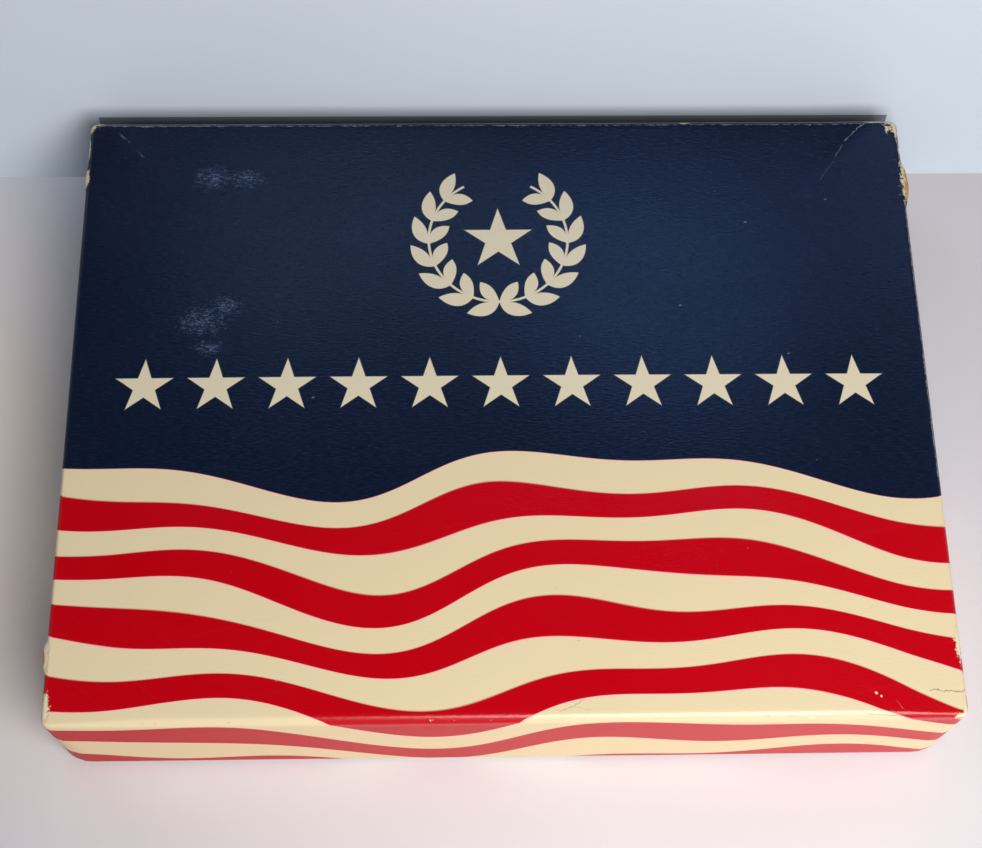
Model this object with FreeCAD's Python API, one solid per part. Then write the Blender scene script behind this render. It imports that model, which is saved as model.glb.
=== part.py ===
import FreeCAD
import Part
import math
import os
from FreeCAD import Vector

# Rigid set-up box for a folded flag: a paper-wrapped chipboard lid that slides down over a
# paper-wrapped chipboard tray, with the flag folded flat inside the tray.
# Millimetres, +Z up, +X along the long side, front wall towards -Y.
# The origin is at the middle of the underside of the tray.

# Lid, measured over its printed paper
lid_width = 305.0
lid_length = 229.0
lid_depth = 43.0
rim_flare = 3.0
top_corner_radius = 4.0
rim_corner_radius = 12.0
lid_fold_radius = 3.0
rim_gap = 1.5

# Tray
tray_corner_radius = 3.0
tray_fold_radius = 2.0
fit_clearance = 0.8

# Board, paper and corner tape, the same in both halves
board_thickness = 1.3
paper_thickness = 0.2
turn_in = 14.0
scored_fold_radius = 0.5
corner_kerf = 0.4
stay_leg = 13.0
stay_thickness = 0.15
stay_margin = 3.0

# Flag: cut size, then how it lies in the tray
flag_fly = 2896.0
flag_hoist = 1524.0
pack_side_gap = 1.2
pack_end_gap = 2.5
fold_gap = 0.35
headspace = 6.5

# Canvas heading along the hoist and its brass eyelets
heading_width = 38.0
heading_rise = 0.7
eyelet_bore_radius = 4.8
eyelet_wall = 0.6
flange_radius = 9.5
flange_thickness = 0.7
flange_round = 0.3
flange_proud = 0.3
heading_ply = 0.5
washer_radius = 9.0
washer_thickness = 0.5
eyelet_edge_distance = 22.0
eyelet_clearance = 0.05

# A cutting tool runs past the face that it cuts by this much
overcut = 1.0


class HalfBox:
    # The outside of one half of the box, drawn as a tray: closed face at z = 0, open rim at z = depth.
    # Each wall leans out by flare at the rim, and the upright corners open from one radius to another.
    def __init__(self, width, length, depth, flare, closed_radius, open_radius, fold_radius):
        self.width = width
        self.length = length
        self.depth = depth
        self.flare = flare
        self.closed_radius = closed_radius
        self.open_radius = open_radius
        self.fold_radius = fold_radius

    def outline(self, inset, height):
        share = height / self.depth
        half_x = self.width / 2 + self.flare * share - inset
        half_y = self.length / 2 + self.flare * share - inset
        radius = self.closed_radius + (self.open_radius - self.closed_radius) * share - inset
        return rounded_rectangle(half_x, half_y, radius, height)

    def block(self, inset, bottom, top, fold_radius=0):
        solid = Part.makeLoft([self.outline(inset, bottom), self.outline(inset, top)], True, True)
        if not fold_radius:
            return solid
        fold_edges = [e for e in solid.Edges if e.BoundBox.ZMax < bottom + overcut / 2]
        return solid.makeFillet(fold_radius, fold_edges)


def rounded_rectangle(half_x, half_y, radius, height):
    # Corner centres, with the angle at which each corner's arc begins
    centres = [(1, 1, 0), (-1, 1, 90), (-1, -1, 180), (1, -1, 270)]
    arcs = []
    for side_x, side_y, start in centres:
        centre = Vector(side_x * (half_x - radius), side_y * (half_y - radius), height)
        points = [centre + turned(radius, start + step) for step in (0, 45, 90)]
        arcs.append(Part.Arc(*points))
    edges = []
    for arc, following in zip(arcs, arcs[1:] + arcs[:1]):
        edges.append(arc.toShape())
        edges.append(Part.LineSegment(arc.EndPoint, following.StartPoint).toShape())
    return Part.Wire(edges)


def turned(radius, degrees):
    angle = math.radians(degrees)
    return Vector(radius * math.cos(angle), radius * math.sin(angle), 0)


def corner_boxes(half_box, leg, bottom, top):
    # Upright boxes over the four corners, reaching a leg's length along each wall
    reach = half_box.flare + overcut
    boxes = []
    for side_x in (-1, 1):
        for side_y in (-1, 1):
            inner_x = side_x * (half_box.width / 2 - leg)
            inner_y = side_y * (half_box.length / 2 - leg)
            low_x = min(inner_x, inner_x + side_x * (leg + reach))
            low_y = min(inner_y, inner_y + side_y * (leg + reach))
            corner = Vector(low_x, low_y, bottom)
            boxes.append(Part.makeBox(leg + reach, leg + reach, top - bottom, corner))
    return boxes


def corner_stays(half_box):
    # Tape round the outside of each board corner, pressed flush into the board
    bottom = half_box.fold_radius + stay_margin
    top = half_box.depth - paper_thickness - stay_margin
    outside = half_box.block(paper_thickness, bottom, top)
    inside = half_box.block(paper_thickness + stay_thickness, bottom - overcut, top + overcut)
    ring = outside.cut(inside)
    stays = [ring.common(box) for box in corner_boxes(half_box, stay_leg, bottom, top)]
    return Part.makeCompound([solid for stay in stays for solid in stay.Solids])


def corner_slits(half_box):
    # The board's walls only butt together at the corners: one thin slit on each diagonal
    bottom = paper_thickness + board_thickness
    height = half_box.depth - bottom + overcut
    length = 2 * (half_box.open_radius + half_box.flare + board_thickness) + overcut
    slits = []
    for side_x in (-1, 1):
        for side_y in (-1, 1):
            slit = Part.makeBox(length, corner_kerf, height, Vector(-length / 2, -corner_kerf / 2, bottom))
            slit.rotate(Vector(0, 0, 0), Vector(0, 0, 1), 45 * side_x * side_y)
            slit.translate(Vector(side_x * half_box.width / 2, side_y * half_box.length / 2, 0))
            slits.append(slit)
    return slits


def board_core(half_box):
    # What the paper wraps: the board with its hollow filled
    fold_radius = half_box.fold_radius - paper_thickness
    return half_box.block(paper_thickness, paper_thickness, half_box.depth - paper_thickness, fold_radius)


def board(half_box, stays):
    # The fold is scored, so it is tighter inside than outside
    wall = paper_thickness + board_thickness
    inside = half_box.block(wall, wall, half_box.depth + overcut, scored_fold_radius)
    return board_core(half_box).cut(inside).cut(corner_slits(half_box) + stays.Solids)


def paper_wrap(half_box):
    # One sheet over the closed face and the walls, turned in over the rim
    wall = paper_thickness + board_thickness
    rim = half_box.depth
    lip_start = rim - turn_in
    outside = half_box.block(0, 0, rim, half_box.fold_radius)
    core = board_core(half_box)
    mouth = half_box.block(wall + paper_thickness, lip_start - overcut, rim + overcut)
    lip = half_box.block(wall, lip_start, rim - paper_thickness).cut(mouth)
    return outside.cut(core).cut(mouth).fuse(lip).removeSplitter()


def turned_over(shape, top_height):
    # A half drawn as a tray becomes a lid with its closed face at top_height
    lid = shape.copy()
    lid.rotate(Vector(0, 0, 0), Vector(1, 0, 0), 180)
    lid.translate(Vector(0, 0, top_height))
    return lid


def fan_fold(panels, half_straight, pitch, thickness, free_end):
    # Side view of the strip: panels joined by half-round folds at alternate ends, starting at the bottom.
    # The last panel stops at free_end, where the heading begins.
    outer_radius = (pitch + thickness) / 2
    inner_radius = (pitch - thickness) / 2
    pieces = []
    for index in range(panels):
        low = index * pitch
        is_last = index == panels - 1
        start_x = free_end if is_last else -half_straight
        pieces.append(Part.makeBox(half_straight - start_x, strip_width, thickness,
                                   Vector(start_x, -strip_width / 2, low)))
        if is_last:
            continue
        side = 1 if (panels - index) % 2 == 0 else -1
        centre = Vector(side * half_straight, -strip_width / 2, low + thickness + inner_radius)
        pieces.append(half_ring(centre, side, inner_radius, outer_radius))
    return pieces[0].multiFuse(pieces[1:]).removeSplitter()


def half_ring(centre, side, inner_radius, outer_radius):
    # Half of a tube lying along +Y, bulging towards side along X
    rear = Vector(0, 1, 0)
    start = 270 if side > 0 else 90
    sector = Vector(math.cos(math.radians(start)), 0, math.sin(math.radians(start)))
    directions = [sector, Vector(side, 0, 0), sector * -1]
    corners = []
    for radius in (inner_radius, outer_radius):
        corners.append([centre + direction * radius for direction in directions])
    inner = Part.Arc(*corners[0]).toShape()
    outer = Part.Arc(*corners[1]).toShape()
    first = Part.LineSegment(corners[0][0], corners[1][0]).toShape()
    last = Part.LineSegment(corners[0][2], corners[1][2]).toShape()
    face = Part.Face(Part.Wire([first, outer, last, inner]))
    return face.extrude(rear * strip_width)


def eyelet_set(position, outward):
    # A brass eyelet through one heading ply and its washer behind that ply, with the room that both take.
    # position is on the heading's face, and outward is the way that face looks.
    axis = Vector(0, 0, outward)
    barrel_radius = eyelet_bore_radius + eyelet_wall
    flange_base = position + axis * (flange_proud - flange_thickness)
    washer_base = flange_base - axis * (heading_ply + washer_thickness)
    flange = Part.makeCylinder(flange_radius, flange_thickness, flange_base, axis)
    crown_height = (position + axis * flange_proud).z
    circles = [e for e in flange.Edges if e.isClosed()]
    crown = [e for e in circles if abs(e.BoundBox.Center.z - crown_height) < flange_thickness / 2]
    flange = flange.makeFillet(flange_round, crown)
    barrel = Part.makeCylinder(barrel_radius, heading_ply + washer_thickness, washer_base, axis)
    bore_length = flange_thickness + heading_ply + washer_thickness
    bore = Part.makeCylinder(eyelet_bore_radius, bore_length, washer_base, axis)
    eyelet = flange.fuse(barrel).cut(bore).removeSplitter()
    hole = Part.makeCylinder(barrel_radius + eyelet_clearance, washer_thickness, washer_base, axis)
    washer = Part.makeCylinder(washer_radius, washer_thickness, washer_base, axis).cut(hole)
    room = [Part.makeCylinder(flange_radius + eyelet_clearance, flange_thickness, flange_base, axis),
            Part.makeCylinder(barrel_radius + eyelet_clearance, bore_length, washer_base, axis),
            Part.makeCylinder(washer_radius + eyelet_clearance, washer_thickness, washer_base, axis)]
    return eyelet, washer, room


def export(name, shape):
    shape.exportStep(os.path.join("parts", name + ".step"))
    print(f"{name}: {len(shape.Solids)} solids, {shape.Volume:.0f} mm3, valid {shape.isValid()}")


# Places that follow from the sizes
wall = paper_thickness + board_thickness
wall_with_lip = wall + paper_thickness
overall_height = lid_depth + rim_gap
tray_depth = overall_height - wall
tray_width = lid_width - 2 * (wall_with_lip + fit_clearance)
tray_length = lid_length - 2 * (wall_with_lip + fit_clearance)

# The flag is pleated lengthwise into a strip as wide as the tray takes, then fan-folded end to end.
# The cloth is soft, so its plies rise to fill the tray up to the headspace.
inside_width = tray_width - 2 * wall_with_lip
inside_length = tray_length - 2 * wall_with_lip
plies = math.ceil(flag_hoist / (inside_length - 2 * pack_side_gap))
strip_width = flag_hoist / plies
panels = math.ceil(flag_fly / (inside_width - 2 * pack_end_gap))
panel_pitch = (tray_depth - wall - headspace) / panels
strip_thickness = panel_pitch - fold_gap
half_straight = (flag_fly - (panels - 1) * math.pi * panel_pitch / 2) / (2 * panels)
heading_start = -half_straight
heading_end = heading_start + heading_width
top_panel_height = wall + (panels - 1) * panel_pitch
heading_top = top_panel_height + strip_thickness + heading_rise

os.makedirs("parts", exist_ok=True)

# Lid
lid_half = HalfBox(lid_width, lid_length, lid_depth, rim_flare,
                   top_corner_radius, rim_corner_radius, lid_fold_radius)
lid_stays = corner_stays(lid_half)
export("lid_board", turned_over(board(lid_half, lid_stays), overall_height))
export("lid_corner_stays", turned_over(lid_stays, overall_height))
export("lid_wrap", turned_over(paper_wrap(lid_half), overall_height))

# Tray
tray_half = HalfBox(tray_width, tray_length, tray_depth, 0,
                    tray_corner_radius, tray_corner_radius, tray_fold_radius)
tray_stays = corner_stays(tray_half)
export("tray_board", board(tray_half, tray_stays))
export("tray_corner_stays", tray_stays)
export("tray_wrap", paper_wrap(tray_half))

# Folded flag
folded_flag = fan_fold(panels, half_straight, panel_pitch, strip_thickness, heading_end)
folded_flag.translate(Vector(0, 0, wall))
export("folded_flag", folded_flag)

# Heading at the free end of the top panel, with an eyelet in its top ply and one in its bottom ply.
# An odd number of plies brings the two ends of the hoist to opposite sides of the strip.
heading = Part.makeBox(heading_width, strip_width, heading_top - top_panel_height,
                       Vector(heading_start, -strip_width / 2, top_panel_height))
eyelet_x = heading_start + heading_width / 2
eyelet_y = strip_width / 2 - eyelet_edge_distance
far_side = 1 if plies % 2 else -1
eyelet_places = [(Vector(eyelet_x, -eyelet_y, heading_top), 1),
                 (Vector(eyelet_x, far_side * eyelet_y, top_panel_height), -1)]
eyelets = []
washers = []
for place, outward in eyelet_places:
    eyelet, washer, room = eyelet_set(place, outward)
    eyelets.append(eyelet)
    washers.append(washer)
    heading = heading.cut(room)
export("flag_heading", heading)
export("heading_eyelets", Part.makeCompound(eyelets))
export("eyelet_washers", Part.makeCompound(washers))

print(f"closed box {lid_width + 2 * rim_flare:.1f} x {lid_length + 2 * rim_flare:.1f} x {overall_height:.1f}")
print(f"tray inside {inside_width:.1f} x {inside_length:.1f}")
print(f"flag in {plies} plies of {strip_width:.1f} and {panels} panels")
print(f"panel pitch {panel_pitch:.2f}, flag top {heading_top:.2f}, tray rim {tray_depth:.2f}")
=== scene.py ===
# Folded flag box: a printed paper lid over a plain paper tray, with the flag folded flat inside
import math
from functools import partial

import bmesh
import bpy
from mathutils import Matrix, Vector, noise


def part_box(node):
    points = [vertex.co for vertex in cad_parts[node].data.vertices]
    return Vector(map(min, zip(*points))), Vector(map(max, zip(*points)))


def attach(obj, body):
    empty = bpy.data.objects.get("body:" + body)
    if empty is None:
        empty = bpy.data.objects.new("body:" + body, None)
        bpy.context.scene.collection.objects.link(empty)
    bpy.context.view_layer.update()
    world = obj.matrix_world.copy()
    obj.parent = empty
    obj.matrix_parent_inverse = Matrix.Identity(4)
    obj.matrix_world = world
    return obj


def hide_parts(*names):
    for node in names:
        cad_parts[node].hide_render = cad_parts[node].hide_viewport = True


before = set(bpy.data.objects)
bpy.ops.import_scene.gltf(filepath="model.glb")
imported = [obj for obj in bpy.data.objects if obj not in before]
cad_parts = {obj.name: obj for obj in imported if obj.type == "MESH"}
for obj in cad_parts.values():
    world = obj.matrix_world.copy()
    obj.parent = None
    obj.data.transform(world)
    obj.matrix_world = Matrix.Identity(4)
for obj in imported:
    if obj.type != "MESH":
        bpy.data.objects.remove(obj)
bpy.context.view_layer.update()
mm = 0.001  # sizes below are in millimetres, the scene is in metres
waveUnit = 20  # radians that a wave texture turns through in one unit of its scale
print("frame loaded:", sorted(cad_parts))


# Small tools

def linear(hexCode):  # an sRGB hex colour as linear red, green, blue, alpha
    channels = [int(hexCode[i:i + 2], 16) / 255 for i in (1, 3, 5)]
    return [c / 12.92 if c <= 0.04045 else ((c + 0.055) / 1.055) ** 2.4 for c in channels] + [1.0]


# Adds one node, set and linked, and gives one of its outputs. Shader nodes go by their short names.
def addNode(tree, kind, *inputs, sockets=None, out=0, **settings):
    node = tree.nodes.new(kind if "Node" in kind else "ShaderNode" + kind)
    for name, value in settings.items():
        setattr(node, name, value)
    for key, value in [*enumerate(inputs), *(sockets or {}).items()]:
        if isinstance(value, bpy.types.NodeSocket):
            tree.links.new(value, node.inputs[key])
        elif value is not None:
            node.inputs[key].default_value = value
    return node.outputs[out] if node.outputs else node


def newMaterial(name):  # an empty node material, with the function that adds nodes to it
    material = bpy.data.materials.new(name)
    material.use_nodes = True
    material.node_tree.nodes.clear()
    return material, partial(addNode, material.node_tree)


def plainMesh(holder):  # the evaluated object as a plain mesh, with its modifiers gone
    graph = bpy.context.evaluated_depsgraph_get()
    mesh = bpy.data.meshes.new_from_object(holder.evaluated_get(graph))
    bpy.data.objects.remove(holder)
    return mesh


def newHolder(mesh):  # an object that carries a mesh while modifiers work on it
    holder = bpy.data.objects.new("holder", mesh)
    bpy.context.scene.collection.objects.link(holder)
    return holder


def thickened(mesh, thickness, side=-1.0):  # a sheet gets its thickness behind its face, or both ways at 0
    holder = newHolder(mesh)
    solid = holder.modifiers.new("thickness", "SOLIDIFY")
    solid.thickness = thickness * mm
    solid.offset = side
    solid.use_even_offset = True
    return plainMesh(holder)


def quilt(name, blocks, mapName):  # grids of (place, map place) as one mesh, sewn where their borders meet
    form = bmesh.new()
    layer = form.loops.layers.uv.new(mapName)
    for rows in blocks:
        knots = [[form.verts.new(place) for place, _ in row] for row in rows]
        for r in range(len(rows) - 1):
            for c in range(len(rows[0]) - 1):
                square = ((r, c), (r, c + 1), (r + 1, c + 1), (r + 1, c))
                face = form.faces.new([knots[i][j] for i, j in square])
                face.smooth = True
                for loop, (i, j) in zip(face.loops, square):
                    loop[layer].uv = rows[i][j][1]
    bmesh.ops.remove_doubles(form, verts=form.verts, dist=0.001 * mm)
    mesh = bpy.data.meshes.new(name)
    form.to_mesh(mesh)
    form.free()
    return mesh


def placePiece(name, mesh, material, body, replaced=()):  # a finished mesh becomes a piece
    mesh.name = name
    mesh.materials.clear()
    mesh.materials.append(material)
    piece = bpy.data.objects.new(name, mesh)
    bpy.context.scene.collection.objects.link(piece)
    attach(piece, body)
    if replaced:
        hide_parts(*replaced)
    return piece


def spaced(start, end, step):  # evenly spaced places from start to end, no further apart than step
    count = max(1, math.ceil(abs(end - start) / step))
    return [start + (end - start) * i / count for i in range(count + 1)]


# Paper-wrapped half box, used for the lid and the tray

def foldRuns(profile, apex):  # how far each point of a fold's profile lies from its apex, along the paper
    runs = [0.0]
    for (inset, depth), (nextInset, nextDepth) in zip(profile, profile[1:]):
        runs.append(runs[-1] + math.hypot(nextInset - inset, nextDepth - depth))
    return [run - runs[apex] for run in runs]


def eased(value):  # a smooth step from 0 to 1
    value = max(0.0, min(1.0, value))
    return value * value * (3 - 2 * value)


def foldSize(shape, x, isFront):  # the front fold is a soft roll, its ends and the other folds are tighter
    tight = shape["tightFold"]
    if not isFront:
        return tight
    return tight + (1 - tight) * eased((1 - abs(x)) / shape["softBlend"])


def fitted(shape, value, reach, half):  # a place along a fold, moved near its end to meet the corner
    share = max(0.0, 1 - (reach - abs(value)) / shape["drawIn"])
    return value + math.copysign((half - reach) * share, value)


def ringPlace(shape, spot, reach, inset, depth):  # a paper place on a ring of that reach, folded down
    if depth < shape["foldProfile"][-1][1]:
        size = foldSize(shape, spot[0] / reach[0], spot[1] <= -reach[1] + 1e-6)
        inset, depth = inset * size, depth * size
    share = depth / shape["depth"]
    halfX = shape["halfWidth"] + shape["flare"] * share - inset
    halfY = shape["halfLength"] + shape["flare"] * share - inset
    opening = shape["rimCornerRadius"] - shape["foldCornerRadius"]
    radius = max(shape["foldCornerRadius"] + opening * share - inset, 0.0)
    place = Vector((fitted(shape, spot[0], reach[0], halfX), fitted(shape, spot[1], reach[1], halfY)))
    core = Vector((max(radius - halfX, min(halfX - radius, place.x)),
                   max(radius - halfY, min(halfY - radius, place.y))))
    away = place - core
    if away.length > 1e-6 and radius > 0:
        place = core + away.normalized() * radius
    return Vector((place.x, place.y, -depth))


# Gives (inset, depth, run along the paper) down a wall, round its rim and up the lip that is turned in
def wallStations(shape, profile, runs, apex):
    stations = [(*profile[i], runs[i]) for i in range(apex, len(profile))]
    deep, bend, thick = shape["depth"], shape["rimRound"], shape["wallThickness"]
    run = stations[-1][2] - stations[-1][1]
    wallDepths = spaced(stations[-1][1], deep - bend, shape["mesh"])[1:]
    stations += [(0.0, depth, run + depth) for depth in wallDepths]
    run += deep - bend
    quarter = [math.radians(angle) for angle in (30, 60, 90)]
    for angle in quarter:
        inset = bend * (1 - math.cos(angle))
        depth = deep - bend * (1 - math.sin(angle))
        stations.append((inset, depth, run + bend * angle))
    run += bend * math.pi / 2 + thick - 2 * bend
    for angle in [0.0, *quarter]:
        inset = thick - bend * (1 - math.sin(angle))
        depth = deep - bend * (1 - math.cos(angle))
        stations.append((inset, depth, run + bend * angle))
    run += bend * math.pi / 2
    for depth in spaced(deep - bend, deep - shape["turnIn"], shape["mesh"])[1:]:
        stations.append((thick, depth, run + deep - bend - depth))
    return stations


def wrapBlocks(shape):  # the closed panel and its four walls as grids of (place, paper place)
    profile, apex = shape["foldProfile"], shape["foldApex"]
    runs = foldRuns(profile, apex)
    # From the middle to each fold's apex, along the paper
    reachX = shape["halfWidth"] - profile[0][0] - runs[0]
    reachY = shape["halfLength"] - profile[0][0] - runs[0]
    foldLines = [-run for run in runs[:apex + 1]]
    closerLines = (2.0, 5.0)  # just inside the fold

    def lines(reach):  # grid lines across the panel
        half = [reach - line for line in reversed(foldLines)]
        half += [reach - foldLines[0] - step for step in closerLines]
        half += spaced(half[-1], 0.0, shape["mesh"])[1:-1]
        return sorted([-line for line in half] + [0.0] + half)

    def panelPlace(x, y):
        edge = min(reachX - abs(x), reachY - abs(y))
        if edge > foldLines[0] + 1e-6:  # the flat of the panel reaches out to the tight folds
            flatX, flatY = reachX - foldLines[0], reachY - foldLines[0]
            outX = profile[0][0] * (1 - foldSize(shape, 0.0, False))
            outY = profile[0][0] * (1 - foldSize(shape, x / flatX, y < 0))
            return Vector((fitted(shape, x, flatX, flatX + outX),
                           fitted(shape, y, flatY, flatY + outY), 0.0))
        inset, depth = min(zip(foldLines, profile), key=lambda pair: abs(pair[0] - edge))[1]
        return ringPlace(shape, (x, y), (reachX - edge, reachY - edge), inset, depth)

    reach = (reachX, reachY)
    acrossX, acrossY = lines(reachX), lines(reachY)
    blocks = [[[(panelPlace(x, y), (x, y)) for x in acrossX] for y in acrossY]]
    stations = wallStations(shape, profile, runs, apex)
    for side in (-1, 1):
        longWall, shortWall = [], []
        for inset, depth, run in stations:
            ends = (side * (reachX + run), side * (reachY + run))
            fold = partial(ringPlace, shape, reach=reach, inset=inset, depth=depth)
            longWall.append([(fold((x, side * reachY)), (x, ends[1])) for x in acrossX[::side]])
            shortWall.append([(fold((side * reachX, y)), (ends[0], y)) for y in acrossY[::-side]])
        blocks += [longWall, shortWall]
    return blocks, reachX, reachY


# Lid paper: one printed sheet, folded down over four walls and turned in at the rim

lidLow, lidHigh = (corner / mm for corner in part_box("lid_wrap"))
lidShape = {
    "flare": 3.0,  # each wall leans out by this much at the rim
    "depth": lidHigh.z - lidLow.z,
    "foldCornerRadius": 2.5,
    "rimCornerRadius": 12.0,
    "tightFold": 0.45,  # the back and side folds, as a share of the front one
    "softBlend": 0.25,  # share of the front fold over which it tightens towards each corner
    "drawIn": 14.0,  # the panel takes up the difference over this much of its edge
    "foldProfile": [(3.3, 0.0), (2.5, 0.03), (1.9, 0.13), (1.4, 0.38),  # as (inset, depth)
                    (0.9, 0.85), (0.35, 1.42), (0.0, 1.9), (0.0, 2.5)],
    "foldApex": 4,  # the point of that profile where the panel ends and the wall begins
    "rimRound": 0.45,
    "wallThickness": 1.7,
    "turnIn": 14.0,
    "mesh": 2.4,
    "paper": 0.18,
}
lidShape["halfWidth"] = lidHigh.x - lidShape["flare"]
lidShape["halfLength"] = lidHigh.y - lidShape["flare"]
lidWear = {
    "crown": 0.7,  # the panel has swelled by this much in the middle
    "crownCurve": 0.8,
    "ridges": [  # board creases as (start, end, height, width), from a corner into the panel
        ((146.0, 116.0), (116.0, 85.5), 0.8, 9.0),
        ((-146.0, 113.0), (-130.0, 98.5), 0.4, 5.0),
        ((150.0, -112.0), (128.0, -98.0), 0.35, 7.0),
    ],
    "ridgePeak": 0.2,  # a ridge is highest at this share of its length
    "ridgeFade": 0.9,  # and dies out over this share of it
    "ridgeDepth": 6.0,  # how fast the ridges die out down the walls
    "bulges": [  # split board under a side fold as (side, y, half length, out)
        (1, 87.5, 11.0, 2.2),
        (-1, -91.0, 6.5, 1.5),
        (-1, 91.0, 5.0, 0.7),
    ],
    "bulgeHeights": (0.2, -1.2, -8.0),  # where a bulge begins, is widest and ends
    "bulgeReach": 2.0,  # only what is this near a side fold is pushed out
    "bulgeSteep": 1.6,
    "bulgeUneven": (0.85, 0.4, 6.0, 4.0),  # middle, swing, length and noise layer of its unevenness
    "ripple": 0.12,
    "rippleLength": 55.0,
    "rippleDepth": 8.0,  # from here down the walls ripple, and not the panel
}


def ridgeLift(x, y):  # how far the creases lift the panel at a place
    lift = 0.0
    for start, end, height, width in lidWear["ridges"]:
        run = Vector(end) - Vector(start)
        offset = Vector((x, y)) - Vector(start)
        along = offset.dot(run.normalized()) / run.length
        across = abs(offset.cross(run.normalized()))
        taper = max(0.0, 1.0 - abs(along - lidWear["ridgePeak"]) / lidWear["ridgeFade"])
        lift += height * taper * math.exp(-across / width)
    return lift


def bulgeOut(x, y, z):  # how far the split board pushes a side wall out, just under the fold
    top, middle, foot = lidWear["bulgeHeights"]
    end = top if z > middle else foot
    height = eased((z - end) / (middle - end))
    middleOut, swing, length, layer = lidWear["bulgeUneven"]
    uneven = middleOut + swing * noise.noise(Vector((y / length, 0.0, layer)))
    out = 0.0
    for side, place, half, most in lidWear["bulges"]:
        if x * side > lidShape["halfWidth"] - lidWear["bulgeReach"]:
            share = eased(lidWear["bulgeSteep"] * (1 - abs(y - place) / half))
            out += side * most * height * uneven * share
    return out


def wornPlace(place):  # a place on the new lid, moved to where years of handling have left it
    x, y, z = place
    halfX, halfY = lidShape["halfWidth"], lidShape["halfLength"]
    flat = max(0.0, 1 - (x / halfX) ** 2) * max(0.0, 1 - (y / halfY) ** 2)
    fade = math.exp(z / lidWear["ridgeDepth"])
    ripple = lidWear["ripple"] * (1 + noise.noise(place / lidWear["rippleLength"]))
    wall = min(1.0, max(0.0, -z / lidWear["rippleDepth"]))
    crown = lidWear["crown"] * flat ** lidWear["crownCurve"]
    rise = crown + ridgeLift(x, y) * fade + ripple * (1 - wall)
    outwards = Vector((x / halfX, y / halfY, 0.0)) * ripple * wall
    outwards.x += bulgeOut(x, y, z)
    return (place + outwards + Vector((0, 0, rise + lidHigh.z))) * mm


lidBlocks, lidReachX, lidReachY = wrapBlocks(lidShape)
lidBlocks = [[[(wornPlace(place), paper) for place, paper in row] for row in rows] for rows in lidBlocks]
lidMesh = thickened(quilt("lidPaper", lidBlocks, "paper"), lidShape["paper"])
print("lid paper folded:", len(lidMesh.polygons), "faces")


# Printed and varnished paper: flat offset inks under a gloss varnish. The varnish gives the eye a soft
# mirror at low angles, and the ink cracks to white paper, then tan board, wherever a fold has been rubbed.

printDesign = {
    "navy": "#0a1428", "navyPale": "#121d35", "red": "#bf0011", "cream": "#e7d9b1", "halo": "#f7cdbd",
    "overlap": "#8a3326", "ornament": "#e2dabb",
    "waveTop": -27.0,  # where the stripes begin on the panel, middle of the wave
    "bandWidth": 10.6,
    # Waves as (height, length, phase, drift down the sheet)
    "waves": [(7.6, 205.0, 0.9, 0.013), (3.6, 98.0, 2.6, 0.019)],
    "swell": (2.3, 150.0, 2.0, 0.11),  # the stripes grow and shrink in the same way
    "wallSpread": 0.70,  # and are drawn wider down the front wall
    "starRow": (6.0, 25.2, 10.6, 5),  # place up the panel, pitch, radius, stars each side of the middle
    "wreath": (64.0, 25.5, 9.6, 7),  # place up the panel, radius of the stem, pitch and number of its leaves
    "stemHalf": 0.45,
    "leaf": (5.7, 2.5, 3.5, 0.6),  # half length, half width, distance from the stem, lean
    "wreathStar": 13.0,
    "inkEdge": 0.13,  # half the width over which an ink ends, and the unit of the next two
    "haloGap": (4.6, 3.2),  # bare paper below a red stripe, which was laid a hair high
    "overlapGap": (2.6, 1.0, 0.4),  # red over cream above it, and how much it shows
}
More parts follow.
